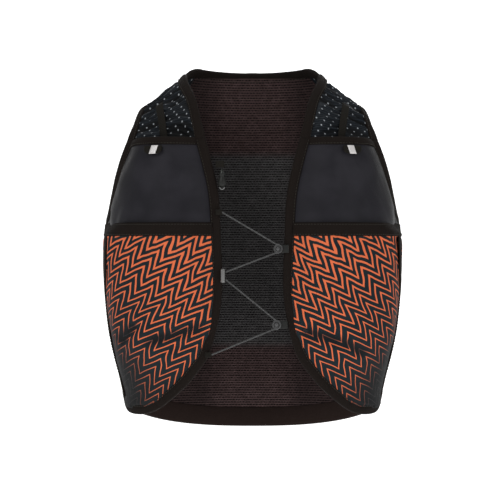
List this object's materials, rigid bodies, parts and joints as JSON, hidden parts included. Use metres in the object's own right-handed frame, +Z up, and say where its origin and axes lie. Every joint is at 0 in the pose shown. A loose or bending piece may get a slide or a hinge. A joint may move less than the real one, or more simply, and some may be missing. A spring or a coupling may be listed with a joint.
{
  "type": "running hydration vest",
  "caption": "Running vest with a mesh back, two laced front panels with stretch pockets, and a soft flask in each chest pocket.",
  "frame": {"origin": "midway between the shoulder straps, at the height where they rest on the wearer's shoulders", "axes": "+Z up along the wearer's back, +X towards the wearer's left side, -Y towards the front of the vest"},
  "size_m": [0.3538, 0.2379, 0.4238],
  "materials": {
    "mesh_lining": "ribbed 3-D spacer mesh, dark charcoal with a brown cast",
    "shell_fabric": "matt woven stretch",
    "black_nylon": "smooth black nylon, slight sheen",
    "dotted_ripstop": "blue-black ripstop with rows of small pale dots",
    "chevron_stretch": "stretch mesh with orange chevrons on blue-black",
    "binding": "flat olive-black edge tape, stitched",
    "webbing": "woven webbing",
    "reflective_tape": "pale grey reflective, smooth",
    "elastic_cord": "braided grey elastic",
    "grey_plastic": "moulded grey",
    "black_plastic": "moulded black, satin",
    "ring_metal": "satin wire",
    "flask_film": "soft translucent film, faint blue",
    "valve_rubber": "soft silicone"
  },
  "bodies": {
    "back": {"neck_binding": "binding", "back_lining": "mesh_lining", "back_shell": "shell_fabric", "rear_pocket": "chevron_stretch", "rear_pocket_binding": "binding", "hem_binding": "binding", "hang_loop": "webbing", "shoulder_yoke_left": "dotted_ripstop", "shoulder_strap_left": "webbing", "armhole_binding_left": "binding", "side_panel_left": "shell_fabric", "shoulder_yoke_right": "dotted_ripstop", "shoulder_strap_right": "webbing", "armhole_binding_right": "binding", "side_panel_right": "shell_fabric"},
    "front_left": {"panel_lining_left": "mesh_lining", "chest_pocket_left": "black_nylon", "chest_pocket_binding_left": "binding", "lower_pocket_left": "chevron_stretch", "lower_pocket_binding_left": "binding", "front_edge_binding_left": "binding", "front_armhole_binding_left": "binding", "lace_hook_upper": "grey_plastic", "lace_hook_lower": "grey_plastic"},
    "front_right": {"panel_lining_right": "mesh_lining", "chest_pocket_right": "black_nylon", "chest_pocket_binding_right": "binding", "lower_pocket_right": "chevron_stretch", "lower_pocket_binding_right": "binding", "front_edge_binding_right": "binding", "front_armhole_binding_right": "binding", "lace_anchor_upper": "webbing", "lace_anchor_lower": "webbing", "lace_keeper": "grey_plastic", "whistle_tab": "webbing"},
    "lace_top": {"lace_upper": "elastic_cord"},
    "lace_bottom": {"lace_lower": "elastic_cord"},
    "whistle": {"whistle_ring": "ring_metal", "whistle": "black_plastic"},
    "flask_left": {"flask_left": "flask_film"},
    "cap_left": {"flask_cap_left": "black_plastic", "flask_valve_left": "valve_rubber"},
    "pull_left": {"pull_loop_left": "webbing", "pull_tab_left": "reflective_tape"},
    "flask_right": {"flask_right": "flask_film"},
    "cap_right": {"flask_cap_right": "black_plastic", "flask_valve_right": "valve_rubber"},
    "pull_right": {"pull_loop_right": "webbing", "pull_tab_right": "reflective_tape"}
  },
  "joints": [
    {"name": "front_left_swing", "type": "hinge", "parent": "back", "child": "front_left", "pos_m": [0.172, 0, -0.15], "axis": [0, 0, 1], "range_deg": [0, 25], "deforming": ["lace_upper", "lace_lower"]},
    {"name": "flask_left_slide", "type": "slide", "parent": "front_left", "child": "flask_left", "axis": [0, 0.035, 0.9994], "range_m": [0, 0.19]},
    {"name": "cap_left_turn", "type": "hinge", "parent": "flask_left", "child": "cap_left", "pos_m": [0.098, -0.09567, -0.1], "axis": [0, 0.035, 0.9994], "continuous": true},
    {"name": "front_right_swing", "type": "hinge", "parent": "back", "child": "front_right", "pos_m": [-0.172, 0, -0.15], "axis": [0, 0, -1], "range_deg": [0, 25], "deforming": ["lace_upper", "lace_lower"]},
    {"name": "flask_right_slide", "type": "slide", "parent": "front_right", "child": "flask_right", "axis": [0, 0.035, 0.9994], "range_m": [0, 0.19]},
    {"name": "cap_right_turn", "type": "hinge", "parent": "flask_right", "child": "cap_right", "pos_m": [-0.098, -0.09567, -0.1], "axis": [0, 0.035, 0.9994], "continuous": true},
    {"name": "pull_left_flip", "type": "hinge", "parent": "front_left", "child": "pull_left", "pos_m": [0.10936, -0.10761, -0.068], "axis": [-0.9084, -0.4181, 0], "range_deg": [0, 80]},
    {"name": "pull_right_flip", "type": "hinge", "parent": "front_right", "child": "pull_right", "pos_m": [-0.10936, -0.10761, -0.068], "axis": [-0.9084, 0.4181, 0], "range_deg": [0, 80]},
    {"name": "whistle_swing", "type": "hinge", "parent": "front_right", "child": "whistle", "pos_m": [-0.036, -0.1112, -0.0938], "axis": [-1, 0, 0], "range_deg": [0, 50]},
    {"name": "lace_upper_swing", "type": "hinge", "parent": "front_right", "child": "lace_top", "pos_m": [-0.0329, -0.11202, -0.141], "axis": [0.0642, -0.0214, -0.9977], "range_deg": [0, 100], "deforming": ["lace_upper"]},
    {"name": "lace_lower_swing", "type": "hinge", "parent": "front_right", "child": "lace_bottom", "pos_m": [-0.0287, -0.11325, -0.2147], "axis": [-0.1869, 0.0688, -0.98], "range_deg": [0, 100], "deforming": ["lace_lower"]}
  ]
}
